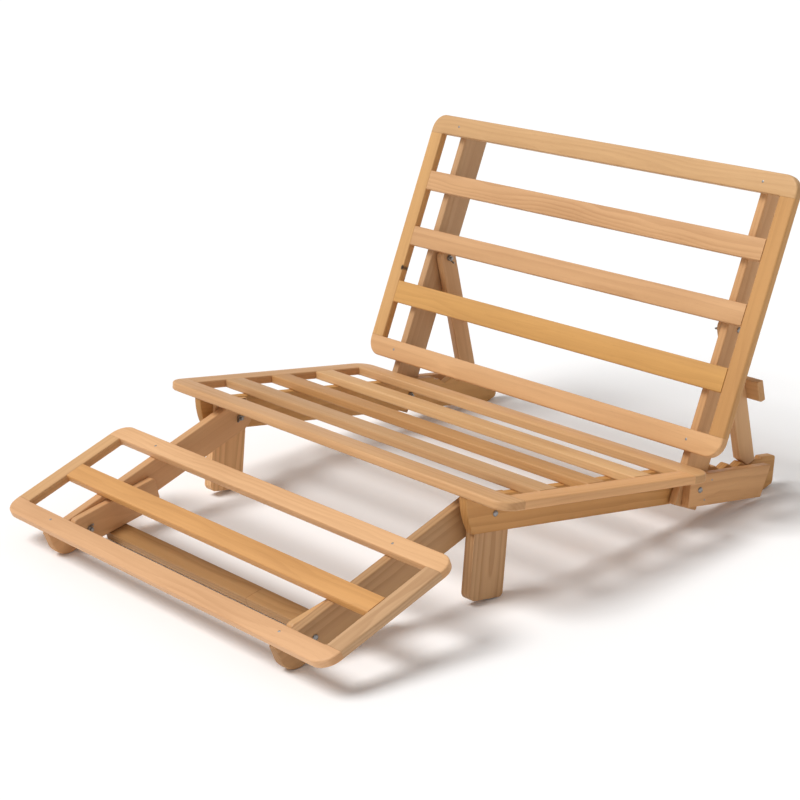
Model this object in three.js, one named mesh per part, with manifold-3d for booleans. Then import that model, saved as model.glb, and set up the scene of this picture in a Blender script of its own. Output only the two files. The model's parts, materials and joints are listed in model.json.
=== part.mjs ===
// Tri-fold slatted lounger frame: a seat on two long notched side boards, a foot section and a back section
// hinged to it, and a prop frame that stands in the notches. Millimetres, +Z up, feet towards -Y.
import * as THREE from "three";
import Module from "manifold-3d";

const wasm = await Module();
wasm.setup();

const RAD = Math.PI / 180;
const GAP = 0.3; // left between pieces that bear on each other

// Decks
const DECK_WIDTH = 1372;
const DECK_THICK = 22;
const SEAT_DEPTH = 680;
const SEAT_RAIL = 64; // front and back rails of the seat
const SEAT_SIDE = 56; // side rails of the seat
const SEAT_SLAT = 60;
const SEAT_SLAT_AT = [157, 310, 463]; // front edge of each slat
const FOOT_DEPTH = 405;
const FOOT_RAIL = 53;
const FOOT_SIDE = 52;
const FOOT_SLAT = 56;
const FOOT_SLAT_AT = 174.5; // from the hinged edge
const BACK_HEIGHT = 713;
const BACK_RAIL = 55;
const BACK_STILE = 50;
const BACK_SLAT = [63, 56, 56]; // widths, from the lowest up
const BACK_SLAT_AT = [159.5, 328.5, 493]; // lower edge of each slat
const CORNER = 46; // outer corners of the three decks

// Depth below the deck tops of the pivots that join the sections
const PIVOT_DOWN = 67;

// Long side boards
const SIDE_X = 527; // inner face
const SIDE_THICK = 26;
const SIDE_TOP = DECK_THICK + GAP;
const SIDE_BOTTOM = 111;
const SIDE_END = 1055;
const RACK_FRONT = 809; // where the notched part begins
const RACK_TOP = 29;
const STOP_FRONT = 1002;
const STOP_TOP = 23;
const NOTCH_AT = [853, 903, 953];
const NOTCH_HALF = 22.5;
const NOTCH_DEEP = 12;
const HEEL_FRONT = 1025; // lower rear corner, on the floor
const HEEL_TOP = 98;

// Front legs
const LEG_X = 515;
const LEG_THICK = 30;
const TONGUE_THICK = SIDE_X - GAP - LEG_X; // upper part, lapped on the side board
const LEG_FRONT = 45;
const LEG_REAR = 148;
const LEG_BOTTOM = 276;
const LEG_REAR_ROUND = 12;
const LEG_FRONT_ROUND = 18;

// Foot section
const FOOT_PIVOT_AT = 97; // from the front edge of the seat
const FOOT_PIVOT_BACK = 217.5; // from the hinged edge of the foot deck to its pivot
const ARM_X = 475;
const ARM_THICK = 28;
const ARM_BOTTOM = 106;
const ARM_END = 405;
const NOSE_ROUND = 45;
const FOOT_LEG_PIVOT = [305, 65]; // from the hinged edge, and below the deck top
const FOOT_LEG_THICK = 23;
const FOOT_LEG_HALF = 39.5; // half its width
const FOOT_LEG_REACH = 216;
const FOOT_LEG_FRONT = 38;
const FOOT_LEG_STOWED = 7.5;
const STRETCHER_AT = [50, 105]; // along the folding legs, from their pivot
const STRETCHER_THICK = 24;

// Back section
const BACK_PIVOT_AT = 725; // from the front edge of the seat
const BACK_PIVOT_BELOW = 83; // from the pivot to the lower edge of the back deck
const BACK_ANGLE = 74; // between the seat and the back
const POST_X = 556;
const POST_THICK = 24;
const POST_BOTTOM = 104;
const POST_FOOT = -136;
const POST_HEAD = 700;
const REAR_LEG_X = POST_X + POST_THICK + GAP;
const REAR_LEG_THICK = 25;

// Prop frame
const PROP_PIVOT = [322, 64.5]; // above the lower edge of the back deck, and behind its front
const STRUT_X = 530;
const STRUT_THICK = 23;
const STRUT_HALF = 27;
const BAR_AT = [152, 214];
const BAR_THICK = 22;
const BAR_HALF_WIDTH = 595;

// Bolts and wing nuts
const SHANK = 4;
const HOLE = 4.5;
const HEAD = 7.5;

const pine = (name, colour) =>
  new THREE.MeshStandardMaterial({ name, color: colour, roughness: 0.62, metalness: 0 });
const steel = (name) =>
  new THREE.MeshStandardMaterial({ name, color: 0xb9bcc0, roughness: 0.32, metalness: 1 });

// The floor meets the seat at the rear corners of the front legs and the heels of the side boards.
function seatTilt() {
  const ds = HEEL_FRONT - (LEG_REAR - LEG_REAR_ROUND);
  const dd = LEG_BOTTOM - LEG_REAR_ROUND - SIDE_BOTTOM;
  return Math.atan2(dd, ds) + Math.asin(LEG_REAR_ROUND / Math.hypot(ds, dd));
}

// The foot section hangs from its pivots until the noses of its arms reach the same floor.
function footFold(tilt) {
  const floor = HEEL_FRONT * Math.sin(tilt) + SIDE_BOTTOM * Math.cos(tilt);
  const pivot = FOOT_PIVOT_AT * Math.sin(tilt) + PIVOT_DOWN * Math.cos(tilt);
  const ahead = ARM_END - NOSE_ROUND + FOOT_PIVOT_BACK;
  const below = ARM_BOTTOM - NOSE_ROUND - PIVOT_DOWN;
  const drop = floor - pivot - NOSE_ROUND;
  return tilt + Math.asin(drop / Math.hypot(ahead, below)) - Math.atan2(below, ahead);
}

const TILT = seatTilt();
const FOLD = footFold(TILT);
const LEAN = BACK_ANGLE * RAD;

// Place of the prop pivot, seen from the side: along the seat, and above its deck.
function propPivotInSeat() {
  const along = BACK_PIVOT_BELOW + PROP_PIVOT[0];
  const above = PIVOT_DOWN - PROP_PIVOT[1];
  const s = BACK_PIVOT_AT + along * Math.cos(LEAN) - above * Math.sin(LEAN);
  const z = -PIVOT_DOWN + along * Math.sin(LEAN) + above * Math.cos(LEAN);
  return [s, z];
}

// The struts reach from there into the last notch, a little clear of its bottom.
const STRUT_CLEAR = 0.5;
const [PROP_S, PROP_Z] = propPivotInSeat();
const TIP_S = NOTCH_AT[2];
const TIP_Z = -(RACK_TOP + NOTCH_DEEP) + STRUT_CLEAR;
const STRUT_REACH = Math.hypot(TIP_S - PROP_S, TIP_Z - PROP_Z);
const PROP_TURN = Math.atan2(PROP_Z - TIP_Z, PROP_S - TIP_S); // of the strut, from the seat

// A side outline, drawn as (along, up), made into a board that is thick along X from x = 0.
function sideExtrusion(shape, thick) {
  const made = new THREE.ExtrudeGeometry(shape, { depth: thick, bevelEnabled: false, curveSegments: 10 });
  const across = new THREE.Vector3(1, 0, 0);
  const along = new THREE.Vector3(0, 1, 0);
  const up = new THREE.Vector3(0, 0, 1);
  return made.applyMatrix4(new THREE.Matrix4().makeBasis(along, up, across));
}

// A deck board: its outline in (across, along), as thick as the deck, top at z = 0.
function deckExtrusion(shape) {
  const made = new THREE.ExtrudeGeometry(shape, { depth: DECK_THICK, bevelEnabled: false, curveSegments: 8 });
  return made.translate(0, 0, -DECK_THICK);
}

function mesh(name, geometry, material) {
  const made = new THREE.Mesh(geometry, material);
  made.name = name;
  return made;
}

function rectangle(x0, y0, x1, y1) {
  const shape = new THREE.Shape();
  shape.moveTo(x0, y0);
  shape.lineTo(x1, y0);
  shape.lineTo(x1, y1);
  shape.lineTo(x0, y1);
  shape.closePath();
  return shape;
}

// A rectangle whose four corners have the radii [lower left, lower right, upper right, upper left].
function roundedRectangle(x0, y0, x1, y1, radii) {
  const [a, b, c, d] = radii;
  const shape = new THREE.Shape();
  shape.moveTo(x0 + a, y0);
  shape.lineTo(x1 - b, y0);
  if (b) shape.absarc(x1 - b, y0 + b, b, -Math.PI / 2, 0, false);
  shape.lineTo(x1, y1 - c);
  if (c) shape.absarc(x1 - c, y1 - c, c, 0, Math.PI / 2, false);
  shape.lineTo(x0 + d, y1);
  if (d) shape.absarc(x0 + d, y1 - d, d, Math.PI / 2, Math.PI, false);
  shape.lineTo(x0, y0 + a);
  if (a) shape.absarc(x0 + a, y0 + a, a, Math.PI, Math.PI * 1.5, false);
  return shape;
}

function hole(shape, y, z, radius) {
  const round = new THREE.Path();
  round.absarc(y, z, radius, 0, Math.PI * 2, true);
  shape.holes.push(round);
}

// The same side outline as two boards, one on each side of the frame.
function boardPair(group, base, shape, innerX, thick, material) {
  for (const side of [-1, 1]) {
    const board = mesh(sideName(side) + "_" + base, sideExtrusion(shape, thick), material.clone());
    board.position.x = side > 0 ? innerX : -innerX - thick;
    group.add(board);
  }
}

function sideName(side) {
  return side > 0 ? "right" : "left";
}

function toManifold(geometry) {
  const plain = geometry.index ? geometry.toNonIndexed() : geometry;
  const position = plain.getAttribute("position");
  const seen = new Map();
  const vertices = [];
  const triangles = [];
  for (let i = 0; i < position.count; i++) {
    const p = [position.getX(i), position.getY(i), position.getZ(i)];
    const key = p.map((v) => Math.round(v * 2000)).join(",");
    if (!seen.has(key)) {
      seen.set(key, vertices.length / 3);
      vertices.push(...p);
    }
    triangles.push(seen.get(key));
  }
  const kept = [];
  for (let i = 0; i < triangles.length; i += 3) {
    const [a, b, c] = triangles.slice(i, i + 3);
    if (a !== b && b !== c && c !== a) kept.push(a, b, c);
  }
  return new wasm.Manifold(
    new wasm.Mesh({
      numProp: 3,
      vertProperties: new Float32Array(vertices),
      triVerts: new Uint32Array(kept),
    }),
  );
}

function fromManifold(solid) {
  const made = solid.getMesh();
  const geometry = new THREE.BufferGeometry();
  geometry.setAttribute("position", new THREE.BufferAttribute(made.vertProperties, 3));
  geometry.setIndex(new THREE.BufferAttribute(made.triVerts, 1));
  geometry.computeVertexNormals();
  return geometry;
}

// ---- seat -------------------------------------------------------------------------------------

function seatDeck(group) {
  const half = DECK_WIDTH / 2;
  const colour = pine("seat_deck", 0xe0bd97);
  const front = roundedRectangle(-half, 0, half, SEAT_RAIL, [CORNER, CORNER, 0, 0]);
  group.add(mesh("seat_front_rail", deckExtrusion(front), colour.clone()));
  const back = roundedRectangle(-half, SEAT_DEPTH - SEAT_RAIL, half, SEAT_DEPTH, [0, 0, CORNER, CORNER]);
  group.add(mesh("seat_back_rail", deckExtrusion(back), colour.clone()));
  const y0 = SEAT_RAIL + GAP;
  const y1 = SEAT_DEPTH - SEAT_RAIL - GAP;
  for (const side of [-1, 1]) {
    const x = side > 0 ? half - SEAT_SIDE : -half;
    const rail = rectangle(x, y0, x + SEAT_SIDE, y1);
    group.add(mesh("seat_" + sideName(side) + "_rail", deckExtrusion(rail), colour.clone()));
  }
  const reach = half - SEAT_SIDE - GAP;
  SEAT_SLAT_AT.forEach((at, i) => {
    const slat = rectangle(-reach, at, reach, at + SEAT_SLAT);
    group.add(mesh("seat_slat_" + (i + 1), deckExtrusion(slat), colour.clone()));
  });
}

// Curved front end, straight foot, slanted heel, end stop, and the notches that hold the struts.
function sideBoardOutline() {
  const shape = new THREE.Shape();
  shape.moveTo(4, -SIDE_TOP);
  shape.quadraticCurveTo(8, -70, 36, -SIDE_BOTTOM);
  shape.lineTo(HEEL_FRONT, -SIDE_BOTTOM);
  shape.lineTo(SIDE_END - 3, -HEEL_TOP);
  shape.lineTo(SIDE_END, -HEEL_TOP + 8);
  shape.lineTo(SIDE_END, -STOP_TOP - 8);
  shape.quadraticCurveTo(SIDE_END, -STOP_TOP, SIDE_END - 8, -STOP_TOP);
  shape.lineTo(STOP_FRONT + 5, -STOP_TOP);
  shape.lineTo(STOP_FRONT, -RACK_TOP);
  for (const at of [...NOTCH_AT].reverse()) {
    shape.lineTo(at + NOTCH_HALF, -RACK_TOP);
    shape.lineTo(at + 2, -RACK_TOP - NOTCH_DEEP);
    shape.lineTo(at - 2, -RACK_TOP - NOTCH_DEEP);
    shape.lineTo(at - NOTCH_HALF, -RACK_TOP);
  }
  shape.lineTo(RACK_FRONT + 6, -RACK_TOP);
  shape.lineTo(RACK_FRONT, -SIDE_TOP);
  shape.closePath();
  hole(shape, FOOT_PIVOT_AT, -PIVOT_DOWN, HOLE);
  hole(shape, BACK_PIVOT_AT, -PIVOT_DOWN, HOLE);
  return shape;
}

// Each front leg carries the side board on its shoulder and laps up the inner face as a thinner tongue.
function frontLeg(side) {
  const section = new THREE.Shape();
  const outer = LEG_X + LEG_THICK;
  section.moveTo(LEG_X, -LEG_BOTTOM - 1);
  section.lineTo(outer, -LEG_BOTTOM - 1);
  section.lineTo(outer, -SIDE_BOTTOM - GAP);
  section.lineTo(LEG_X + TONGUE_THICK, -SIDE_BOTTOM - GAP);
  section.lineTo(LEG_X + TONGUE_THICK, -DECK_THICK - 2);
  section.lineTo(LEG_X, -DECK_THICK - 2);
  section.closePath();
  const stepped = new THREE.ExtrudeGeometry(section, { depth: LEG_REAR - LEG_FRONT + 2, bevelEnabled: false });
  stepped.rotateX(Math.PI / 2);
  stepped.translate(0, LEG_REAR + 1, 0);
  const radii = [LEG_FRONT_ROUND, LEG_REAR_ROUND, 4, 4];
  const outline = roundedRectangle(LEG_FRONT, -LEG_BOTTOM, LEG_REAR, -DECK_THICK - 3, radii);
  hole(outline, FOOT_PIVOT_AT, -PIVOT_DOWN, HOLE);
  const blank = sideExtrusion(outline, LEG_THICK + 2).translate(LEG_X - 1, 0, 0);
  const leg = fromManifold(toManifold(stepped).intersect(toManifold(blank)));
  if (side > 0) return leg;
  const turned = leg.applyMatrix4(new THREE.Matrix4().makeScale(-1, 1, 1));
  const index = turned.index.array;
  for (let i = 0; i < index.length; i += 3) [index[i + 1], index[i + 2]] = [index[i + 2], index[i + 1]];
  turned.computeVertexNormals();
  return turned;
}

// ---- hardware ---------------------------------------------------------------------------------

// Domed head on the outer face, and a shank that runs inwards through the boards.
function bolt(name, side, headX, endX) {
  const length = headX - endX;
  const profile = [
    new THREE.Vector2(0, -length),
    new THREE.Vector2(SHANK - 0.8, -length),
    new THREE.Vector2(SHANK, -length + 0.8),
    new THREE.Vector2(SHANK, GAP),
    new THREE.Vector2(HEAD, GAP),
    new THREE.Vector2(HEAD, 1.3),
    new THREE.Vector2(HEAD * 0.8, 3.1),
    new THREE.Vector2(HEAD * 0.45, 4.2),
    new THREE.Vector2(0, 4.6),
  ];
  const made = new THREE.LatheGeometry(profile, 20);
  made.rotateZ(side > 0 ? -Math.PI / 2 : Math.PI / 2);
  const placed = mesh(name, made, steel(name));
  placed.position.x = side * headX;
  return placed;
}

// A conical hub with a bore and two upright wings; its base lies against the inner face at faceX.
function wingNut(name, side, faceX, turn) {
  const hub = new THREE.LatheGeometry(
    [
      new THREE.Vector2(HOLE, 0),
      new THREE.Vector2(8, 0),
      new THREE.Vector2(6.6, 9),
      new THREE.Vector2(HOLE, 9),
      new THREE.Vector2(HOLE, 0),
    ],
    20,
  );
  let solid = toManifold(hub);
  for (const way of [-1, 1]) {
    const wing = new THREE.Shape();
    wing.moveTo(way * 5.6, 1.5);
    wing.lineTo(way * 10, 3.5);
    wing.quadraticCurveTo(way * 17.5, 9, way * 17, 15);
    wing.quadraticCurveTo(way * 15, 19, way * 11.5, 15.5);
    wing.quadraticCurveTo(way * 10, 9.5, way * 5.6, 8.2);
    wing.closePath();
    const plate = new THREE.ExtrudeGeometry(wing, { depth: 2.6, bevelEnabled: false, curveSegments: 6 });
    plate.translate(0, 0, -1.3);
    solid = solid.add(toManifold(plate));
  }
  const made = fromManifold(solid);
  made.rotateY(turn);
  made.rotateZ(side > 0 ? Math.PI / 2 : -Math.PI / 2);
  const placed = mesh(name, made, steel(name));
  placed.position.x = side * (faceX - GAP);
  return placed;
}

// A flat ring between two boards, from x0 to x1.
function spacer(name, side, x0, x1, radius, y, z) {
  const ring = new THREE.Shape();
  ring.absarc(0, 0, radius, 0, Math.PI * 2, false);
  hole(ring, 0, 0, HOLE);
  const placed = mesh(name, sideExtrusion(ring, x1 - x0), steel(name));
  placed.position.set(side > 0 ? x0 : -x1, y, z);
  return placed;
}

function pivotPair(group, base, headX, endX, faceX, y, z, turn) {
  for (const side of [-1, 1]) {
    const head = bolt(sideName(side) + "_" + base + "_bolt", side, headX, endX);
    head.position.y = y;
    head.position.z = z;
    group.add(head);
    const nut = wingNut(sideName(side) + "_" + base + "_wing_nut", side, faceX, turn);
    nut.position.y = y;
    nut.position.z = z;
    group.add(nut);
  }
}

function seat() {
  const group = new THREE.Group();
  seatDeck(group);
  boardPair(group, "side_board", sideBoardOutline(), SIDE_X, SIDE_THICK, pine("side_board", 0xdcb68d));
  for (const side of [-1, 1]) {
    group.add(mesh(sideName(side) + "_front_leg", frontLeg(side), pine("front_leg", 0xdab38a)));
    const at = [FOOT_PIVOT_AT, -PIVOT_DOWN];
    const name = sideName(side) + "_foot_spacer";
    group.add(spacer(name, side, ARM_X + ARM_THICK + GAP, LEG_X - GAP, 12, ...at));
  }
  pivotPair(group, "foot_pivot", SIDE_X + SIDE_THICK, ARM_X - 16, ARM_X, FOOT_PIVOT_AT, -PIVOT_DOWN, 0.5);
  return group;
}

// ---- foot section -----------------------------------------------------------------------------

// Drawn about the pivot: -Y runs out along the section, and the deck top is PIVOT_DOWN above it.
function footDeck(group) {
  const half = DECK_WIDTH / 2;
  const colour = pine("foot_deck", 0xdfba93);
  const deck = new THREE.Group();
  deck.position.set(0, -FOOT_PIVOT_BACK, PIVOT_DOWN);
  const rear = roundedRectangle(-half, -FOOT_RAIL, half, 0, [0, 0, CORNER, CORNER]);
  deck.add(mesh("foot_back_rail", deckExtrusion(rear), colour.clone()));
  const front = roundedRectangle(-half, -FOOT_DEPTH, half, -FOOT_DEPTH + FOOT_RAIL, [CORNER, CORNER, 0, 0]);
  deck.add(mesh("foot_front_rail", deckExtrusion(front), colour.clone()));
  for (const side of [-1, 1]) {
    const x = side > 0 ? half - FOOT_SIDE : -half;
    const rail = rectangle(x, -FOOT_DEPTH + FOOT_RAIL + GAP, x + FOOT_SIDE, -FOOT_RAIL - GAP);
    deck.add(mesh("foot_" + sideName(side) + "_rail", deckExtrusion(rail), colour.clone()));
  }
  const reach = half - FOOT_SIDE - GAP;
  const slat = rectangle(-reach, -FOOT_SLAT_AT - FOOT_SLAT, reach, -FOOT_SLAT_AT);
  deck.add(mesh("foot_slat", deckExtrusion(slat), pine("foot_slat", 0xd9a873)));
  group.add(deck);
}

// Rounded about the pivot at the rear, and rounded under the nose that stands on the floor.
function footArmOutline() {
  const top = PIVOT_DOWN - DECK_THICK - GAP;
  const bottom = PIVOT_DOWN - ARM_BOTTOM;
  const end = -(ARM_END + FOOT_PIVOT_BACK);
  const shape = new THREE.Shape();
  shape.moveTo(end + NOSE_ROUND, bottom);
  shape.lineTo(0, bottom);
  shape.absellipse(0, 0, 43, -bottom, -Math.PI / 2, 0, false, 0);
  shape.absellipse(0, 0, 43, top, 0, Math.PI / 2, false, 0);
  shape.lineTo(end + 6, top);
  shape.quadraticCurveTo(end, top, end, top - 6);
  shape.lineTo(end, bottom + NOSE_ROUND);
  shape.absarc(end + NOSE_ROUND, bottom + NOSE_ROUND, NOSE_ROUND, Math.PI, Math.PI * 1.5, false);
  hole(shape, 0, 0, HOLE);
  hole(shape, -(FOOT_LEG_PIVOT[0] + FOOT_PIVOT_BACK), PIVOT_DOWN - FOOT_LEG_PIVOT[1], HOLE);
  return shape;
}

// Folded up under the deck: +Y is the free end, and the stretcher lies under the two legs.
function footLegs() {
  const group = new THREE.Group();
  const colour = pine("foot_legs", 0xd8b187);
  const outline = roundedRectangle(-FOOT_LEG_FRONT, -FOOT_LEG_HALF, FOOT_LEG_REACH, FOOT_LEG_HALF, [14, 28, 8, 14]);
  hole(outline, 0, 0, HOLE);
  const inner = ARM_X - FOOT_LEG_THICK - 0.4;
  boardPair(group, "foot_leg", outline, inner, FOOT_LEG_THICK, colour);
  const reach = inner + FOOT_LEG_THICK;
  const [y0, y1] = STRETCHER_AT;
  const board = new THREE.BoxGeometry(2 * reach, y1 - y0, STRETCHER_THICK);
  board.translate(0, (y0 + y1) / 2, -FOOT_LEG_HALF - GAP - STRETCHER_THICK / 2);
  group.add(mesh("foot_leg_stretcher", board, colour.clone()));
  return group;
}

function foot() {
  const group = new THREE.Group();
  footDeck(group);
  boardPair(group, "foot_arm", footArmOutline(), ARM_X, ARM_THICK, pine("foot_arm", 0xdbb48b));
  const y = -(FOOT_LEG_PIVOT[0] + FOOT_PIVOT_BACK);
  const z = PIVOT_DOWN - FOOT_LEG_PIVOT[1];
  const legs = footLegs();
  legs.position.set(0, y, z);
  legs.rotation.x = -FOOT_LEG_STOWED * RAD;
  group.add(legs);
  const face = ARM_X - FOOT_LEG_THICK - 0.4;
  pivotPair(group, "foot_leg", ARM_X + ARM_THICK, face - 16, face, y, z, 1.1);
  return group;
}

// ---- back section -----------------------------------------------------------------------------

// Drawn lying flat behind the pivot: +Y runs up the back, and the deck front is PIVOT_DOWN above it.
function backDeck(group) {
  const half = DECK_WIDTH / 2;
  const colour = pine("back_deck", 0xe1be98);
  const deck = new THREE.Group();
  deck.position.set(0, BACK_PIVOT_BELOW, PIVOT_DOWN);
  const bottom = roundedRectangle(-half, 0, half, BACK_RAIL, [CORNER, CORNER, 0, 0]);
  deck.add(mesh("back_bottom_rail", deckExtrusion(bottom), colour.clone()));
  const top = roundedRectangle(-half, BACK_HEIGHT - BACK_RAIL, half, BACK_HEIGHT, [0, 0, CORNER, CORNER]);
  deck.add(mesh("back_top_rail", deckExtrusion(top), colour.clone()));
  for (const side of [-1, 1]) {
    const x = side > 0 ? half - BACK_STILE : -half;
    const stile = rectangle(x, BACK_RAIL + GAP, x + BACK_STILE, BACK_HEIGHT - BACK_RAIL - GAP);
    deck.add(mesh("back_" + sideName(side) + "_stile", deckExtrusion(stile), colour.clone()));
  }
  const reach = half - BACK_STILE - GAP;
  BACK_SLAT_AT.forEach((at, i) => {
    const slat = rectangle(-reach, at, reach, at + BACK_SLAT[i]);
    deck.add(mesh("back_slat_" + (i + 1), deckExtrusion(slat), colour.clone()));
  });
  group.add(deck);
}

function postOutline() {
  const top = PIVOT_DOWN - DECK_THICK - GAP;
  const low = POST_FOOT + BACK_PIVOT_BELOW;
  const high = POST_HEAD + BACK_PIVOT_BELOW;
  const shape = roundedRectangle(low, PIVOT_DOWN - POST_BOTTOM, high, top, [3, 20, 3, 3]);
  hole(shape, 0, 0, HOLE);
  hole(shape, PROP_PIVOT[0] + BACK_PIVOT_BELOW, PIVOT_DOWN - PROP_PIVOT[1], HOLE);
  return shape;
}

// Fixed to the outside of each post; level with the seat when the back is up, down when it lies flat.
function rearLegOutline() {
  const shape = new THREE.Shape();
  shape.moveTo(-33, -42);
  shape.lineTo(228, -43);
  shape.lineTo(254, 36);
  shape.quadraticCurveTo(254, 39, 251, 39);
  shape.lineTo(-31, 39);
  shape.quadraticCurveTo(-35, 39, -35, 35);
  shape.lineTo(-36, -39);
  shape.quadraticCurveTo(-36, -42, -33, -42);
  hole(shape, 0, 0, HOLE);
  return shape;
}

// Rounded above its pivot; the lower end is a blunt wedge that lies in a notch.
function strutOutline() {
  const slope = Math.atan2(NOTCH_DEEP, NOTCH_HALF - 2);
  const turn = (dir) => {
    const s = Math.cos(slope) * dir;
    const up = Math.sin(slope);
    const c = Math.cos(PROP_TURN);
    const n = Math.sin(PROP_TURN);
    return [s * c + up * n, -s * n + up * c];
  };
  const shape = new THREE.Shape();
  shape.absarc(0, 0, STRUT_HALF, -Math.PI / 2, Math.PI / 2, false);
  const rear = turn(1);
  const ahead = turn(-1);
  const [first, last] = rear[1] > 0 ? [rear, ahead] : [ahead, rear];
  shape.lineTo(-STRUT_REACH + (STRUT_HALF / first[1]) * first[0], STRUT_HALF);
  shape.lineTo(-STRUT_REACH, 0);
  shape.lineTo(-STRUT_REACH + (-STRUT_HALF / last[1]) * last[0], -STRUT_HALF);
  shape.closePath();
  hole(shape, 0, 0, HOLE);
  return shape;
}

function crossBar() {
  const [near, far] = BAR_AT;
  const face = -STRUT_HALF - GAP;
  const shape = new THREE.Shape();
  shape.moveTo(-far, face);
  shape.lineTo(-far, face - BAR_THICK + 12);
  shape.lineTo(-far + 8, face - BAR_THICK);
  shape.lineTo(-near, face - BAR_THICK);
  shape.lineTo(-near, face);
  shape.closePath();
  return sideExtrusion(shape, 2 * BAR_HALF_WIDTH).translate(-BAR_HALF_WIDTH, 0, 0);
}

function prop() {
  const group = new THREE.Group();
  boardPair(group, "prop_strut", strutOutline(), STRUT_X, STRUT_THICK, pine("prop_strut", 0xd9b288));
  group.add(mesh("prop_cross_bar", crossBar(), pine("prop_cross_bar", 0xd6ae83)));
  return group;
}

function back() {
  const group = new THREE.Group();
  backDeck(group);
  boardPair(group, "back_post", postOutline(), POST_X, POST_THICK, pine("back_post", 0xdab48a));
  const legs = new THREE.Group();
  legs.rotation.x = -LEAN;
  boardPair(legs, "rear_leg", rearLegOutline(), REAR_LEG_X, REAR_LEG_THICK, pine("rear_leg", 0xd9b187));
  group.add(legs);
  const y = BACK_PIVOT_BELOW + PROP_PIVOT[0];
  const z = PIVOT_DOWN - PROP_PIVOT[1];
  const props = prop();
  props.position.set(0, y, z);
  props.rotation.x = PROP_TURN - LEAN;
  group.add(props);
  pivotPair(group, "back_pivot", REAR_LEG_X + REAR_LEG_THICK, SIDE_X - 16, SIDE_X, 0, 0, 0.2);
  pivotPair(group, "prop_pivot", POST_X + POST_THICK, STRUT_X - 16, STRUT_X, y, z, 0.8);
  for (const side of [-1, 1]) {
    const x0 = SIDE_X + SIDE_THICK + GAP;
    const x1 = POST_X - GAP;
    group.add(spacer(sideName(side) + "_back_washer", side, x0, x1, 11, 0, 0));
    group.add(spacer(sideName(side) + "_prop_washer", side, x0, x1, 11, y, z));
  }
  return group;
}

// ---- the whole frame --------------------------------------------------------------------------

const frame = new THREE.Group();
const seatGroup = seat();
seatGroup.rotation.x = -TILT;

const footGroup = foot();
footGroup.position.set(0, FOOT_PIVOT_AT, -PIVOT_DOWN);
footGroup.rotation.x = FOLD;
seatGroup.add(footGroup);

const backGroup = back();
backGroup.position.set(0, BACK_PIVOT_AT, -PIVOT_DOWN);
backGroup.rotation.x = LEAN;
seatGroup.add(backGroup);

frame.add(seatGroup);
frame.updateMatrixWorld(true);
const extent = new THREE.Box3().setFromObject(frame, true);
frame.position.set(0, -(extent.min.y + extent.max.y) / 2, -extent.min.z);

const group = new THREE.Group();
group.name = "lounger_frame";
group.add(frame);
group.updateMatrixWorld(true);

export default group;
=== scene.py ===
"""Slatted tri-fold lounger frame in pale softwood: rounded deck boards, shaped side boards, steel pivots and screws."""

import json
import math

import bpy
import numpy as np
from mathutils import Euler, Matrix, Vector


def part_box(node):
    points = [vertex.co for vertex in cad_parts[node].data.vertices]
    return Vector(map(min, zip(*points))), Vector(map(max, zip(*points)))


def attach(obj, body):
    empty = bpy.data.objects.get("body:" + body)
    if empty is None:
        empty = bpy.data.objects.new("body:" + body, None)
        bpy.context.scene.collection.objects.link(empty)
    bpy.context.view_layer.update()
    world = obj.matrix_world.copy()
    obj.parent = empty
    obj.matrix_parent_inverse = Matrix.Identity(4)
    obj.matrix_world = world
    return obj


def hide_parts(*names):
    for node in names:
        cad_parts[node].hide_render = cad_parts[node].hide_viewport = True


bl_info = {
    "name": "Slatted Lounger Frame",
    "version": (1, 0, 0),
    "blender": (4, 5, 0),
    "location": "3D View > Sidebar > Lounger",
    "description": "Builds the boards, pivots and screws of a tri-fold slatted lounger frame",
    "category": "Object",
}

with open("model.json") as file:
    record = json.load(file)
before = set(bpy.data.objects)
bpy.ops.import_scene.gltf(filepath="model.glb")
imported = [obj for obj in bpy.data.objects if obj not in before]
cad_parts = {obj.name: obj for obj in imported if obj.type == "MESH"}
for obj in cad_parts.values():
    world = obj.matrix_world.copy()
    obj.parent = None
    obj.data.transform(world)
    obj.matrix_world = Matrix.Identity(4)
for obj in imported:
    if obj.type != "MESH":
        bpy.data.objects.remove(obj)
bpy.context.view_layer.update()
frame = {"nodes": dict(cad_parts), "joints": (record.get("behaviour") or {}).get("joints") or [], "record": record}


# ---- sizes and colours ------------------------------------------------------------------------


class LoungerSizes(bpy.types.PropertyGroup):
    outer_round: bpy.props.FloatProperty(
        name="Outer Rounding", description="Radius routed round the outside of each deck", default=0.0048, unit="LENGTH"
    )
    inner_share: bpy.props.FloatProperty(
        name="Inner Share", description="Rounding of the slats and openings, as a share of the outer one", default=0.65
    )
    board_round: bpy.props.FloatProperty(
        name="Board Rounding", description="Radius along the edges of the upright boards", default=0.0035, unit="LENGTH"
    )
    screw_head: bpy.props.FloatProperty(
        name="Screw Head", description="Radius of the countersunk screw heads", default=0.0034, unit="LENGTH"
    )


class LoungerColours(bpy.types.PropertyGroup):
    pale: bpy.props.FloatVectorProperty(
        name="Pale Wood", description="Early wood of the pale boards", subtype="COLOR", default=(0.63, 0.362, 0.165)
    )
    pale_grain: bpy.props.FloatVectorProperty(
        name="Pale Grain", description="Late wood of the pale boards", subtype="COLOR", default=(0.36, 0.165, 0.055)
    )
    deep: bpy.props.FloatVectorProperty(
        name="Deep Wood", description="Early wood of the yellower boards", subtype="COLOR", default=(0.6, 0.3, 0.098)
    )
    deep_grain: bpy.props.FloatVectorProperty(
        name="Deep Grain", description="Late wood of the yellower boards", subtype="COLOR", default=(0.34, 0.145, 0.036)
    )
    steel: bpy.props.FloatVectorProperty(
        name="Steel", description="Zinc-plated bolts, nuts and screws", subtype="COLOR", default=(0.3, 0.295, 0.29)
    )
    floor: bpy.props.FloatVectorProperty(
        name="Floor", description="Floor under the frame", subtype="COLOR", default=(0.94, 0.94, 0.94)
    )


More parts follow.
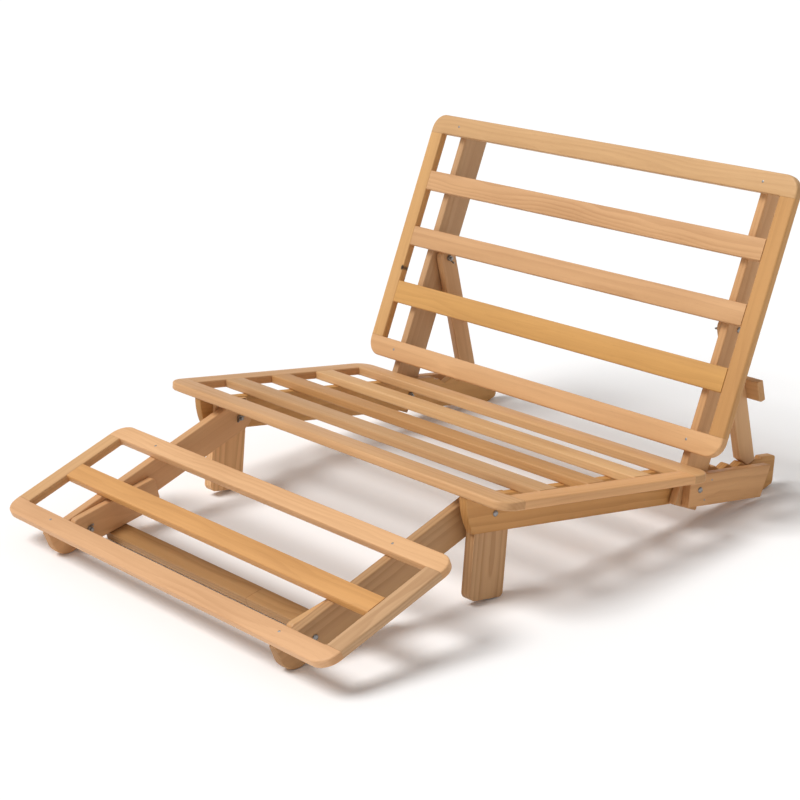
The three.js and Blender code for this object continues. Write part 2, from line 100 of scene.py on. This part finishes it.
def sizes():
    return bpy.context.scene.lounger_sizes


def colours():
    return bpy.context.scene.lounger_colours


# ---- shader helper ----------------------------------------------------------------------------


class Value:
    """One number that varies over a surface; arithmetic on it adds Math nodes."""

    def __init__(self, shader, socket):
        self.shader = shader
        self.socket = socket

    def _math(self, operation, *values):
        made = self.shader.node("ShaderNodeMath", {"operation": operation}, dict(enumerate(values)))
        return Value(self.shader, made.outputs[0])

    def __add__(self, other):
        return self._math("ADD", self, other)

    __radd__ = __add__

    def __mul__(self, other):
        return self._math("MULTIPLY", self, other)

    __rmul__ = __mul__

    def __sub__(self, other):
        return self._math("SUBTRACT", self, other)

    def __rsub__(self, other):
        return self._math("SUBTRACT", other, self)

    def __truediv__(self, other):
        return self._math("DIVIDE", self, other)

    def __abs__(self):
        return self._math("ABSOLUTE", self)

    def root(self):
        return self._math("SQRT", self)

    def fraction(self):
        return self._math("FRACT", self)

    def above(self, low, high):
        """0 below low, 1 above high, smooth between."""
        sockets = {"Value": self, "From Min": low, "From Max": high}
        made = self.shader.node("ShaderNodeMapRange", {"interpolation_type": "SMOOTHSTEP"}, sockets)
        return Value(self.shader, made.outputs["Result"])


class Shader:
    """A material and the two or three ways in which its nodes are added."""

    def __init__(self, name):
        self.material = bpy.data.materials.new(name)
        self.material.use_nodes = True
        self.tree = self.material.node_tree
        self.surface = self.tree.nodes["Principled BSDF"]
        self.place = self.node("ShaderNodeTexCoord", {}, {})

    def node(self, kind, settings, sockets):
        made = self.tree.nodes.new(kind)
        for key, value in settings.items():
            setattr(made, key, value)
        for key, value in sockets.items():
            self.put(made.inputs[key], value)
        return made

    def put(self, socket, value):
        if isinstance(value, Value):
            value = value.socket
        if isinstance(value, bpy.types.NodeSocket):
            self.tree.links.new(value, socket)
        else:
            socket.default_value = value

    def along(self, vector, direction, origin):
        """Distance of a place from origin, measured along a direction."""
        moved = self.node("ShaderNodeVectorMath", {"operation": "SUBTRACT"}, {0: vector, 1: tuple(origin)})
        sockets = {0: moved.outputs[0], 1: tuple(direction)}
        made = self.node("ShaderNodeVectorMath", {"operation": "DOT_PRODUCT"}, sockets)
        return Value(self, made.outputs["Value"])

    def vector(self, x, y, z):
        return self.node("ShaderNodeCombineXYZ", {}, {0: x, 1: y, 2: z}).outputs[0]

    def noise(self, vector, scale, detail=2.0, roughness=0.5):
        sockets = {"Vector": vector, "Scale": scale, "Detail": detail, "Roughness": roughness}
        made = self.node("ShaderNodeTexNoise", {}, sockets)
        return Value(self, made.outputs["Fac"])

    def mix(self, share, first, second):
        made = self.node("ShaderNodeMix", {"data_type": "RGBA"}, {0: share, 6: first, 7: second})
        return made.outputs[2]

    def set(self, **values):
        for key, value in values.items():
            self.put(self.surface.inputs[key.replace("_", " ")], value)

    def bump(self, height, distance, strength):
        made = self.node("ShaderNodeBump", {}, {"Height": height, "Distance": distance, "Strength": strength})
        self.put(self.surface.inputs["Normal"], made.outputs["Normal"])


def seed_of(name):
    """A number from 0 to 1 that a piece's name always gives."""
    return (sum(ord(c) * (i * i + 7) for i, c in enumerate(name)) * 0.6180339887) % 1.0


def rgba(colour, tint=(1.0, 1.0, 1.0)):
    return tuple(min(1.0, c * t) for c, t in zip(colour, tint)) + (1.0,)


DEEP = {"foot_slat", "back_slat_1", "back_right_stile", "seat_slat_2", "left_side_board"}
# Colour factors per board. Most are the boards' own differing tones; the dark factors of foot_leg_stretcher,
# right_side_board and right_front_leg are painted shade, for boards that lie in shadow under the decks.
BOARD_TONES_AND_PAINTED_SHADE = {
    "foot_slat": (1.1, 1.1, 1.1),
    "back_slat_1": (1.03, 1.08, 0.96),
    "back_right_stile": (0.92, 0.95, 1.0),
    "seat_slat_1": (0.9, 0.9, 0.9),
    "seat_slat_2": (0.88, 0.9, 1.0),
    "seat_slat_3": (1.08, 1.12, 1.12),
    "foot_right_rail": (0.92, 0.97, 1.1),
    "back_left_stile": (1.0, 0.97, 0.8),
    "right_back_post": (0.95, 0.9, 0.85),
    "foot_front_rail": (1.12, 1.1, 1.2),
    "foot_back_rail": (1.18, 1.18, 1.25),
    "foot_leg_stretcher": (0.6, 0.56, 0.45),
    "seat_right_rail": (1.1, 1.02, 0.95),
    "right_side_board": (0.95, 0.84, 0.58),
    "right_front_leg": (0.82, 0.82, 0.84),
    "left_front_leg": (1.25, 1.3, 1.35),
    "right_foot_arm": (0.76, 0.75, 0.74),
    "left_back_post": (0.86, 0.88, 0.95),
    "right_rear_leg": (1.08, 1.0, 0.92),
    "back_bottom_rail": (1.1, 1.1, 1.12),
}
KNOTS = {"back_left_stile": (0.0965, 0.0215)}  # distances of a knot along and across the board from its centre
FIGURE = {  # how strongly a board's growth rings show
    "back_slat_3": 0.26,
    "back_slat_2": 0.2,
    "right_front_leg": 0.4,
    "left_front_leg": 0.4,
    "right_side_board": 0.3,
    "right_foot_arm": 0.32,
    "foot_right_rail": 0.3,
    "foot_leg_stretcher": 0.3,
    "right_rear_leg": 0.22,
    "right_back_post": 0.16,
    "left_back_post": 0.12,
}


def wood(name, centre, grain, across, through, splice=None):
    """Growth rings are distances from a wandering heart line beside the board; streaks run with the grain."""
    seed = seed_of(name)
    other = seed_of(name[::-1] + "x")
    s = Shader("wood_" + name)
    place = s.place.outputs["Object"]
    u = s.along(place, grain, centre)
    v = s.along(place, across, centre)
    w = s.along(place, through, centre)
    if splice is not None:
        part = u.above(splice - 0.0002, splice + 0.0002)
        joint = u.above(splice - 0.0016, splice - 0.0006) * (1 - u.above(splice + 0.0006, splice + 0.0016))
        u = u + part * 1.7
        v = v + part * 0.02
    lot = 13.0 * seed + 5.0
    slow = s.noise(s.vector(u * 1.3 + lot, v * 5.0, w * 5.0), 1.0, 2.0)
    waver = s.noise(s.vector(u * 5.0 + lot, v * 26.0, w * 26.0), 1.0, 2.0)
    heart_v = (other - 0.5) * 0.06
    heart_w = 0.035 + 0.06 * seed
    dv = v - heart_v + (slow - 0.5) * 0.05
    dw = w + heart_w + (slow - 0.5) * 0.03 + (waver - 0.5) * 0.006
    radius = (dv * dv + dw * dw).root()
    ring = (radius / (0.0062 + 0.003 * other)).fraction()
    late = ring.above(0.25, 0.9) * (1 - ring.above(0.92, 1.0))
    streak = s.noise(s.vector(u * 2.2 + lot, v * 90.0, w * 90.0), 1.0, 3.0, 0.6)
    fibre = s.noise(s.vector(u * 14.0, v * 620.0, w * 620.0), 1.0, 3.0, 0.65)
    pore = s.noise(s.vector(u * 30.0 + lot, v * 380.0, w * 380.0), 1.0, 1.0)
    fleck = pore.above(0.68, 0.76)
    patch = s.noise(s.vector(u * 2.6 + lot, v * 9.0, w * 9.0), 1.0, 1.0)
    c = colours()
    deep = name in DEEP
    # a board's colour factor: its own tone, and for a few shadowed boards painted shade
    tint = BOARD_TONES_AND_PAINTED_SHADE.get(name, tuple(1.0 + 0.07 * (seed_of(name + k) - 0.5) for k in "rgb"))
    light = rgba(c.deep if deep else c.pale, tint)
    dark = rgba(c.deep_grain if deep else c.pale_grain, tint)
    figure = FIGURE.get(name, 0.13)
    share = late * figure + (streak - 0.42) * 0.5 + (fibre - 0.5) * 0.22 + (patch - 0.5) * 0.6 + fleck * 0.14
    if splice is not None:
        share = share + joint * 0.7 - part * 0.14
    if name in KNOTS:
        away_u, away_v = (u - KNOTS[name][0]) * 0.6, v - KNOTS[name][1]
        knot = 1 - (away_u * away_u + away_v * away_v).root().above(0.0025, 0.006)
    share = s.node("ShaderNodeClamp", {}, {0: share + 0.08}).outputs[0]
    colour = s.mix(share, light, dark)
    if name in KNOTS:
        colour = s.mix(knot, colour, (0.05, 0.024, 0.01, 1.0))
    facing = s.along(s.place.outputs["Normal"], grain, (0, 0, 0))
    end = abs(facing).above(0.75, 0.95)
    colour = s.mix(end * 0.4, colour, dark)
    s.set(Base_Color=colour)
    s.set(Roughness=0.5 + (streak - 0.5) * 0.16 + late * 0.05 + end * 0.15)
    s.surface.inputs["Specular IOR Level"].default_value = 0.4
    s.bump(fibre * 0.6 + late * 0.4, 0.00025, 0.35)
    return s.material


def plated(name):
    """Zinc-plated steel: mottled brightness, faint scratches in the roughness."""
    s = Shader(name)
    place = s.place.outputs["Object"]
    mottle = s.noise(place, 160.0, 3.0)
    scratch = s.noise(place, 900.0, 2.0)
    c = colours().steel
    s.set(Base_Color=s.mix(mottle, rgba(c, (0.8, 0.8, 0.8)), rgba(c, (1.3, 1.3, 1.3))))
    s.set(Metallic=1.0)
    s.set(Roughness=0.28 + scratch * 0.2)
    return s.material


# ---- boards -----------------------------------------------------------------------------------


def triangles_of(node):
    """The corners of a CAD node's triangles, as an array of shape (n, 3, 3)."""
    data = frame["nodes"][node].data
    data.calc_loop_triangles()
    place = np.zeros(len(data.vertices) * 3)
    data.vertices.foreach_get("co", place)
    index = np.zeros(len(data.loop_triangles) * 3, int)
    data.loop_triangles.foreach_get("vertices", index)
    return place.reshape(-1, 3)[index].reshape(-1, 3, 3)


def board_of(node):
    """Outline, thickness and axes of a flat board.

    The widest flat face gives the direction through the board. Its triangles' edges that occur once make the
    outline, the longest stretch of outline gives the grain, and the third axis is their cross product.
    """
    tri = triangles_of(node)
    cross = np.cross(tri[:, 1] - tri[:, 0], tri[:, 2] - tri[:, 0])
    area = np.linalg.norm(cross, axis=1)
    through = cross[np.argmax(area)] / area.max()
    if through[np.argmax(np.abs(through))] < 0 and abs(through[0]) > 0.9:
        through = -through
    if abs(through[0]) < 0.5 and through[2] < 0:
        through = -through
    depth = tri @ through
    top = depth.max()
    thick = top - depth.min()
    cap = tri[(depth > top - 1e-5).all(1)]
    points, index = np.unique(np.round(cap.reshape(-1, 3), 5), axis=0, return_inverse=True)
    index = index.reshape(-1, 3)
    starts = index.ravel()
    ends = np.roll(index, -1, axis=1).ravel()
    count = len(points)
    once = ~np.isin(starts * count + ends, ends * count + starts)
    follow = dict(zip(starts[once], ends[once]))
    loops = []
    while follow:
        at = next(iter(follow))
        loop = []
        while at in follow:
            loop.append(at)
            at = follow.pop(at)
        loops.append(points[loop])
    loop = max(loops, key=lambda p: np.ptp(p, axis=0).sum())
    edge = np.roll(loop, -1, axis=0) - loop
    length = np.linalg.norm(edge, axis=1)
    grain = edge[np.argmax(length)] / length.max()
    across = np.cross(through, grain)
    centre = (loop.min(0) + loop.max(0)) / 2 - through * thick / 2
    flat = np.stack([(loop - centre) @ grain, (loop - centre) @ across], axis=1)
    keep = np.linalg.norm(flat - np.roll(flat, 1, axis=0), axis=1) > 2e-5
    axes = {"grain": grain, "across": across, "through": through}
    return {"outline": flat[keep], "thick": thick, "centre": centre, **axes}


def slab(outline, share, thick, radius, steps=5):
    """A board with rounded edges, as vertices and faces.

    A point of the surface is outline(i) - m(i) r (1 - cos a) across and h +- (r sin a - r) through, where a runs from
    0 to a quarter turn on each face, and m(i) is the one vector whose parts along the two neighbouring edges' normals
    are those edges' shares of the rounding.
    """
    after = np.roll(outline, -1, axis=0) - outline
    after /= np.linalg.norm(after, axis=1)[:, None]
    normal_after = np.stack([after[:, 1], -after[:, 0]], axis=1)
    normal_before = np.roll(normal_after, 1, axis=0)
    share_after = share[:, 0]
    share_before = np.roll(share[:, 1], 1)
    turn = normal_before[:, 0] * normal_after[:, 1] - normal_before[:, 1] * normal_after[:, 0]
    straight = np.abs(turn) < 0.02
    safe = np.where(straight, 1.0, turn)
    corner = np.stack(
        [
            (share_before * normal_after[:, 1] - share_after * normal_before[:, 1]) / safe,
            (share_after * normal_before[:, 0] - share_before * normal_after[:, 0]) / safe,
        ],
        axis=1,
    )
    level = (normal_before + normal_after) / 2 * ((share_before + share_after) / 2)[:, None]
    inward = np.where(straight[:, None], level, corner)
    angle = np.linspace(0.0, math.pi / 2, steps)
    cut = np.concatenate([1 - np.cos(angle[::-1]), 1 - np.cos(angle)]) * radius
    half = thick / 2
    height = np.concatenate([-half + radius - radius * np.sin(angle[::-1]), half - radius + radius * np.sin(angle)])
    rings = outline[None, :, :] - inward[None, :, :] * cut[:, None, None]
    place = np.concatenate([rings, np.broadcast_to(height[:, None, None], rings.shape[:2] + (1,))], axis=2)
    layers, count = place.shape[:2]
    row, column = np.meshgrid(np.arange(layers - 1), np.arange(count), indexing="ij")
    beside = (column + 1) % count
    this, above = row * count, (row + 1) * count
    faces = np.stack([this + column, this + beside, above + beside, above + column], axis=-1)
    listed = faces.reshape(-1, 4).tolist()
    listed.append(list(range(count))[::-1])
    listed.append(list(range((layers - 1) * count, layers * count)))
    return place.reshape(-1, 3), listed


def new_piece(name, vertices, faces, body, material, sharp=40.0):
    data = bpy.data.meshes.new(name)
    data.from_pydata(vertices.tolist() if hasattr(vertices, "tolist") else vertices, [], faces)
    data.validate()
    data.shade_smooth()
    data.set_sharp_from_angle(angle=math.radians(sharp))
    data.materials.append(material)
    made = bpy.data.objects.new(name, data)
    bpy.context.scene.collection.objects.link(made)
    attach(made, body)
    return made


def body_of(node):
    return next(body for body, members in frame["record"]["behaviour"]["bodies"].items() if node in members)


def anticlockwise(board):
    """The outline turned, if it needs it, so that it runs anticlockwise seen against the through axis."""
    p = board["outline"]
    q = np.roll(p, -1, axis=0)
    if (p[:, 0] * q[:, 1] - p[:, 1] * q[:, 0]).sum() < 0:
        board["outline"] = p[::-1].copy()
    return board


def split_edge(outline, at):
    """Adds points to the long edges that run along the grain, where the grain coordinate is one of at."""
    rows = []
    for p, q in zip(outline, np.roll(outline, -1, axis=0)):
        rows.append(p)
        if abs(q[1] - p[1]) < 1e-4 and abs(q[0] - p[0]) > 0.5:
            cuts = np.sort(np.array(at))
            cuts = cuts if q[0] > p[0] else cuts[::-1]
            rows.extend(np.stack([cuts, np.full(len(cuts), p[1])], axis=1))
    return np.array(rows)


def place_board(node, share_rule=None, radius=None, splice=None, cuts=None, close=0.0):
    """Replaces a CAD board by the same board with rounded edges and its own piece of wood.

    close lengthens a glued board at both ends, so that it meets its neighbours.
    """
    board = anticlockwise(board_of(node))
    board["outline"][:, 0] += np.sign(board["outline"][:, 0]) * close
    if cuts is not None:
        board["outline"] = split_edge(board["outline"], cuts)
    outline = board["outline"]
    share = np.ones((len(outline), 2)) if share_rule is None else share_rule(board)
    local, faces = slab(outline, share, board["thick"], radius or sizes().board_round)
    axes = np.stack([board["grain"], board["across"], board["through"]])
    if splice is not None:
        splice = math.copysign(splice, board["grain"][0])
    material = wood(node, board["centre"], board["grain"], board["across"], board["through"], splice)
    made = new_piece(node + "_shaped", board["centre"] + local @ axes, faces, body_of(node), material)
    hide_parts(node)
    return made


JOINT_SHARE = 0.07  # of the rounding, left along a glued joint
JOINT_CLOSE = 0.00035  # added to a glued board at each end
FADE = 0.005  # length over which a rail's rounding changes at each end of its opening


def deck_rule(kind, centre, half_open):
    """Shares of the rounding for a deck board: full outside, part of it inside, none where boards are glued."""

    def rule(board):
        p = board["outline"]
        q = np.roll(p, -1, axis=0)
        way = q - p
        way = way / np.linalg.norm(way, axis=1)[:, None]
        normal = np.stack([way[:, 1], -way[:, 0]], axis=1)
        axes = np.stack([board["grain"], board["across"]])
        normal_world = normal @ axes
        middle = board["centre"] + ((p + q) / 2) @ axes
        outward = np.einsum("ij,ij->i", normal_world, middle - centre)
        sideways = np.abs(normal_world[:, 0]) > 0.9
        inner = sizes().inner_share
        share = np.ones((len(p), 2))
        if kind == "slat":
            share[:] = np.where(sideways, JOINT_SHARE, inner)[:, None]
        if kind == "stile":
            share[:] = np.where(sideways, np.where(outward > 0, 1.0, inner), JOINT_SHARE)[:, None]
        if kind == "rail":
            facing_in = (outward < 0) & ~sideways & (np.abs(normal_world[:, 0]) < 0.05)
            for column, points in ((0, p), (1, q)):
                open_part = np.abs((board["centre"] + points @ axes)[:, 0]) < half_open
                share[:, column] = np.where(facing_in, np.where(open_part, inner, JOINT_SHARE), 1.0)
        return share

    return rule


def place_deck(rails, stiles, slats):
    """One deck: its rails run the full width, its stiles stand between them, and its slats between the stiles."""
    corners = np.array([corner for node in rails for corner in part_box(node)])
    centre = (corners.min(0) + corners.max(0)) / 2
    low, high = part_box(stiles[0])
    open_to = min(abs(low.x), abs(high.x))
    radius = sizes().outer_round
    cuts = [-open_to, -open_to + FADE, open_to - FADE, open_to]
    for node in rails:
        place_board(node, deck_rule("rail", centre, open_to - 0.8 * FADE), radius, cuts=cuts)
    for node in stiles:
        place_board(node, deck_rule("stile", centre, open_to), radius, close=JOINT_CLOSE)
    for node in slats:
        place_board(node, deck_rule("slat", centre, open_to), radius, close=JOINT_CLOSE)


# ---- screws and pivots ------------------------------------------------------------------------

AROUND = 32  # points round a screw head
RINGS = 8  # rows from a screw head's middle to its rim
DOME = 0.16  # height of a screw head, as a share of its radius
RECESS_DEPTH = 0.14  # the recess too is in shares of the radius
RECESS_WIDTH = 0.13
RECESS_REACH = 0.7
PROUD = 0.00015  # how far a rim stands above the wood
SKIRT = 0.0012  # how deep a head goes, from its rim
REAR_LEG_SCREWS = ((0.040, 0.022), (0.019, -0.027))  # from the pivot: back along the leg, and up
SMALL_HEAD = 0.7  # size of those screws' heads, as a share of the others'


def screw_head(name, centre, axis, body, material, share=1.0):
    """A shallow dome with a cross recess.

    At a share t of the radius r the height is DOME (1 - t^2) r + PROUD, less a dip near two lines through
    the middle.
    """
    r = sizes().screw_head * share
    axis = np.array(axis) / np.linalg.norm(axis)
    side = np.cross(axis, (1.0, 0.0, 0.0) if abs(axis[0]) < 0.9 else (0.0, 1.0, 0.0))
    side /= np.linalg.norm(side)
    other = np.cross(axis, side)
    turns = np.linspace(0, 2 * math.pi, AROUND, endpoint=False)
    t, a = np.meshgrid(np.linspace(0.0, 1.0, RINGS + 1), turns, indexing="ij")
    x, y = t * r * np.cos(a), t * r * np.sin(a)
    dip = np.exp(-((np.minimum(np.abs(x), np.abs(y)) / (RECESS_WIDTH * r)) ** 2)) * (t < RECESS_REACH)
    h = DOME * r * (1 - t**2) - RECESS_DEPTH * r * dip + PROUD
    top = np.array(centre) + x[..., None] * side + y[..., None] * other + h[..., None] * axis
    base = top[-1] - axis * SKIRT
    points = np.concatenate([top.reshape(-1, 3)[AROUND - 1 :], base, [np.array(centre) - axis * SKIRT]])
    ring = np.arange(AROUND)
    after = (ring + 1) % AROUND
    faces = [[0, 1 + i, 1 + j] for i, j in zip(ring, after)]
    for row in range(RINGS):
        first = 1 + row * AROUND
        faces += [[first + i, first + AROUND + i, first + AROUND + j, first + j] for i, j in zip(ring, after)]
    last = 1 + RINGS * AROUND
    faces += [[last + i, len(points) - 1, last + j] for i, j in zip(ring, after)]
    return new_piece(name, points, faces, body, material, sharp=50.0)


WELD_REACH = 0.00002
EDGE_TURN = 35  # degrees


def weld(node):
    """Joins a CAD node's loose triangles."""
    made = node.modifiers.new("Weld", "WELD")
    made.merge_threshold = WELD_REACH


def ease(node, name, width, segments):
    """Rounds the edges of a CAD node that turn by more than EDGE_TURN."""
    made = node.modifiers.new(name, "BEVEL")
    made.width = width
    made.segments = segments
    made.limit_method = "ANGLE"
    made.angle_limit = math.radians(EDGE_TURN)


def deck_point(node, x, share):
    """A point on a deck board's upper face, at x, and at a share of the way across the board; and the face's normal."""
    board = board_of(node)
    face = board["centre"] + board["through"] * board["thick"] / 2
    width = np.ptp(board["outline"][:, 1])
    away = board["across"] * (share - 0.5) * width
    return face + away + np.array([x, 0.0, 0.0]), board["through"]


# ---- operators --------------------------------------------------------------------------------


class LOUNGER_OT_seat_deck(bpy.types.Operator):
    """Builds the seat's rails and slats"""

    bl_idname = "lounger.seat_deck"
    bl_label = "Seat Deck"

    def execute(self, context):
        place_deck(
            ["seat_front_rail", "seat_back_rail"],
            ["seat_left_rail", "seat_right_rail"],
            ["seat_slat_1", "seat_slat_2", "seat_slat_3"],
        )
        return {"FINISHED"}


class LOUNGER_OT_foot_deck(bpy.types.Operator):
    """Builds the foot section's rails and slat"""

    bl_idname = "lounger.foot_deck"
    bl_label = "Foot Deck"

    def execute(self, context):
        place_deck(["foot_front_rail", "foot_back_rail"], ["foot_left_rail", "foot_right_rail"], ["foot_slat"])
        return {"FINISHED"}


class LOUNGER_OT_back_deck(bpy.types.Operator):
    """Builds the back's rails, stiles and slats"""

    bl_idname = "lounger.back_deck"
    bl_label = "Back Deck"

    def execute(self, context):
        place_deck(
            ["back_top_rail", "back_bottom_rail"],
            ["back_left_stile", "back_right_stile"],
            ["back_slat_1", "back_slat_2", "back_slat_3"],
        )
        return {"FINISHED"}


class LOUNGER_OT_side_boards(bpy.types.Operator):
    """Builds the notched side boards and finishes the front legs"""

    bl_idname = "lounger.side_boards"
    bl_label = "Side Boards and Front Legs"

    def execute(self, context):
        for side in ("left", "right"):
            place_board(side + "_side_board", radius=0.0028)
            finish_front_leg(side + "_front_leg")
        return {"FINISHED"}


class LOUNGER_OT_foot_arms(bpy.types.Operator):
    """Builds the foot section's arms and its folding legs"""

    bl_idname = "lounger.foot_arms"
    bl_label = "Foot Arms and Folding Legs"

    def execute(self, context):
        for side in ("left", "right"):
            place_board(side + "_foot_arm")
            place_board(side + "_foot_leg", radius=0.003)
        place_board("foot_leg_stretcher", radius=0.003, splice=0.15)
        return {"FINISHED"}


class LOUNGER_OT_posts(bpy.types.Operator):
    """Builds the back posts and the rear legs fixed to them"""

    bl_idname = "lounger.posts"
    bl_label = "Back Posts and Rear Legs"

    def execute(self, context):
        for side in ("left", "right"):
            place_board(side + "_back_post", radius=0.003)
            place_board(side + "_rear_leg", radius=0.0025)
        return {"FINISHED"}


class LOUNGER_OT_prop_frame(bpy.types.Operator):
    """Builds the prop struts and their cross bar"""

    bl_idname = "lounger.prop_frame"
    bl_label = "Prop Frame"

    def execute(self, context):
        for side in ("left", "right"):
            place_board(side + "_prop_strut", radius=0.003)
        place_board("prop_cross_bar", radius=0.005)
        return {"FINISHED"}


class LOUNGER_OT_pivots(bpy.types.Operator):
    """Finishes the pivot bolts, wing nuts and washers"""

    bl_idname = "lounger.pivots"
    bl_label = "Bolts and Wing Nuts"

    def execute(self, context):
        material = plated("zinc_plate")
        for name, node in frame["nodes"].items():
            if any(word in name for word in ("bolt", "nut", "washer", "spacer")):
                node.data.materials.clear()
                node.data.materials.append(material)
                weld(node)
                ease(node, "Bevel", width=0.0004, segments=2)
        return {"FINISHED"}


class LOUNGER_OT_screws(bpy.types.Operator):
    """Sets the countersunk screws into the decks and the rear legs"""

    bl_idname = "lounger.screws"
    bl_label = "Screws"

    def execute(self, context):
        material = plated("screw_steel")
        rows = [  # the board, the distance from its middle, the share of the way across it, and the body
            ("foot_back_rail", 0.491, 0.44, "foot"),
            ("foot_front_rail", 0.491, 0.43, "foot"),
            ("back_top_rail", 0.573, 0.49, "back"),
            ("back_bottom_rail", 0.573, 0.49, "back"),
        ]
        for node, reach, share, body in rows:
            for side, x in (("left", -reach), ("right", reach)):
                place, normal = deck_point(node, x, share)
                screw_head(f"{node}_{side}_screw", place, normal, body, material)
        pivot = np.array(next(j["pos_m"] for j in frame["joints"] if j["name"] == "back_tilt"))
        for side, sign in (("left", -1.0), ("right", 1.0)):
            board = board_of(side + "_rear_leg")
            low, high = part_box(side + "_rear_leg")
            face = high.x if sign > 0 else low.x
            rearward = board["grain"] * np.sign(board["grain"][1])
            upward = np.cross((1.0, 0.0, 0.0), rearward)
            for number, (s, h) in enumerate(REAR_LEG_SCREWS, 1):
                place = pivot + rearward * s + upward * h
                place[0] = face
                screw_head(f"{side}_rear_leg_screw_{number}", place, (sign, 0.0, 0.0), "back", material, SMALL_HEAD)
        return {"FINISHED"}


def finish_front_leg(node):
    """Keeps the stepped leg, with its edges eased and its own piece of wood; the grain runs up the leg."""
    leg = frame["nodes"][node]
    tri = triangles_of(node)
    cross = np.cross(tri[:, 1] - tri[:, 0], tri[:, 2] - tri[:, 0])
    area = np.linalg.norm(cross, axis=1)
    front = np.abs(cross[:, 0]) < 0.1 * area
    tall = cross[front & (cross[:, 1] < 0)]
    normal = tall[np.argmax(np.linalg.norm(tall, axis=1))]
    normal = normal / np.linalg.norm(normal)
    up = np.cross((1.0, 0.0, 0.0), -normal)
    low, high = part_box(node)
    centre = np.array((low + high) / 2)
    leg.data.materials.clear()
    leg.data.materials.append(wood(node, centre, up, -normal, np.array((1.0, 0.0, 0.0))))
    weld(leg)
    flat = leg.modifiers.new("Flat Faces", "DECIMATE")
    flat.decimate_type = "DISSOLVE"
    flat.angle_limit = math.radians(1.0)
    ease(leg, "Eased Edges", width=0.003, segments=3)


FLOOR_REACH = 60  # metres each way
FLOOR_DROP = 0.0005  # the floor's depth below the feet
KEY_FROM = (-0.35, -0.5, 1.0)
KEY_STRENGTH = 2.5
KEY_SPREAD = 30.0  # degrees
SKY_AT_HORIZON = 1.0
SKY_ABOVE = 0.42
SKY_FALL = (0.08, 0.25)  # heights, on a sphere of radius 1, between which the light falls
CAMERA_AT = (4.1819, -3.2355, 2.1217)
CAMERA_TURN = (71.0988, 4.1265, 50.9907)  # degrees
CAMERA_LENS = 99.568  # mm, on a sensor 36 mm wide


class LOUNGER_OT_stage(bpy.types.Operator):
    """Makes the pale floor, the soft studio light and the camera"""

    bl_idname = "lounger.stage"
    bl_label = "Stage"

    def execute(self, context):
        scene = context.scene
        data = bpy.data.meshes.new("floor")
        corners = [(x * FLOOR_REACH, y * FLOOR_REACH, 0) for x, y in ((-1, -1), (1, -1), (1, 1), (-1, 1))]
        data.from_pydata(corners, [], [(0, 1, 2, 3)])
        s = Shader("pale_floor")
        tone = s.noise(s.place.outputs["Object"], 1.5, 2.0)
        c = colours().floor
        s.set(Base_Color=s.mix(tone, rgba(c, (0.99, 0.99, 0.99)), rgba(c)))
        s.set(Roughness=0.9)
        data.materials.append(s.material)
        floor = bpy.data.objects.new("floor", data)
        floor.location.z = -FLOOR_DROP
        scene.collection.objects.link(floor)
        world = bpy.data.worlds.new("studio")
        world.use_nodes = True
        world.node_tree.nodes["Background"].inputs[0].default_value = (1.0, 1.0, 1.0, 1.0)
        sky_glow(world.node_tree, SKY_AT_HORIZON, SKY_ABOVE)
        scene.world = world
        scene.view_settings.view_transform = "Standard"
        soft_sun("key", KEY_FROM, KEY_STRENGTH, KEY_SPREAD)
        camera = bpy.data.cameras.new("camera")
        camera.sensor_width = 36.0
        camera.lens = CAMERA_LENS
        camera.clip_end = 100.0
        seen = bpy.data.objects.new("camera", camera)
        seen.location = CAMERA_AT
        seen.rotation_euler = Euler([math.radians(a) for a in CAMERA_TURN])
        scene.collection.objects.link(seen)
        scene.camera = seen
        return {"FINISHED"}


def sky_glow(tree, rim, top):
    """The sky's light falls from rim at the horizon to top, so that the floor's far edge melts into it."""
    place = tree.nodes.new("ShaderNodeTexCoord")
    height = tree.nodes.new("ShaderNodeSeparateXYZ")
    fall = tree.nodes.new("ShaderNodeMapRange")
    for key, value in zip(("From Min", "From Max", "To Min", "To Max"), (*SKY_FALL, rim, top)):
        fall.inputs[key].default_value = value
    tree.links.new(place.outputs["Generated"], height.inputs[0])
    tree.links.new(height.outputs["Z"], fall.inputs["Value"])
    tree.links.new(fall.outputs[0], tree.nodes["Background"].inputs[1])


def soft_sun(name, towards, strength, spread):
    data = bpy.data.lights.new(name, "SUN")
    data.energy = strength
    data.angle = math.radians(spread)
    made = bpy.data.objects.new(name, data)
    made.location = Vector(towards) * 4
    made.rotation_euler = (-Vector(towards)).to_track_quat("-Z", "Y").to_euler()
    bpy.context.scene.collection.objects.link(made)


class LOUNGER_PT_panel(bpy.types.Panel):
    """Lists the sizes, the colours and the pieces"""

    bl_idname = "LOUNGER_PT_panel"
    bl_label = "Slatted Lounger"
    bl_space_type = "VIEW_3D"
    bl_region_type = "UI"
    bl_category = "Lounger"

    def draw(self, context):
        for group in (context.scene.lounger_sizes, context.scene.lounger_colours):
            for key in group.__annotations__:
                self.layout.prop(group, key)
        for step in STEPS:
            self.layout.operator(step.bl_idname)


STEPS = (
    LOUNGER_OT_stage,
    LOUNGER_OT_seat_deck,
    LOUNGER_OT_foot_deck,
    LOUNGER_OT_back_deck,
    LOUNGER_OT_side_boards,
    LOUNGER_OT_foot_arms,
    LOUNGER_OT_posts,
    LOUNGER_OT_prop_frame,
    LOUNGER_OT_pivots,
    LOUNGER_OT_screws,
)
CLASSES = (LoungerSizes, LoungerColours) + STEPS + (LOUNGER_PT_panel,)


def register():
    for made in CLASSES:
        bpy.utils.register_class(made)
    bpy.types.Scene.lounger_sizes = bpy.props.PointerProperty(type=LoungerSizes)
    bpy.types.Scene.lounger_colours = bpy.props.PointerProperty(type=LoungerColours)


def unregister():
    del bpy.types.Scene.lounger_colours
    del bpy.types.Scene.lounger_sizes
    for made in reversed(CLASSES):
        bpy.utils.unregister_class(made)


def main():
    register()
    for step in STEPS:
        group, name = step.bl_idname.split(".")
        getattr(getattr(bpy.ops, group), name)()


if __name__ == "__main__":
    main()
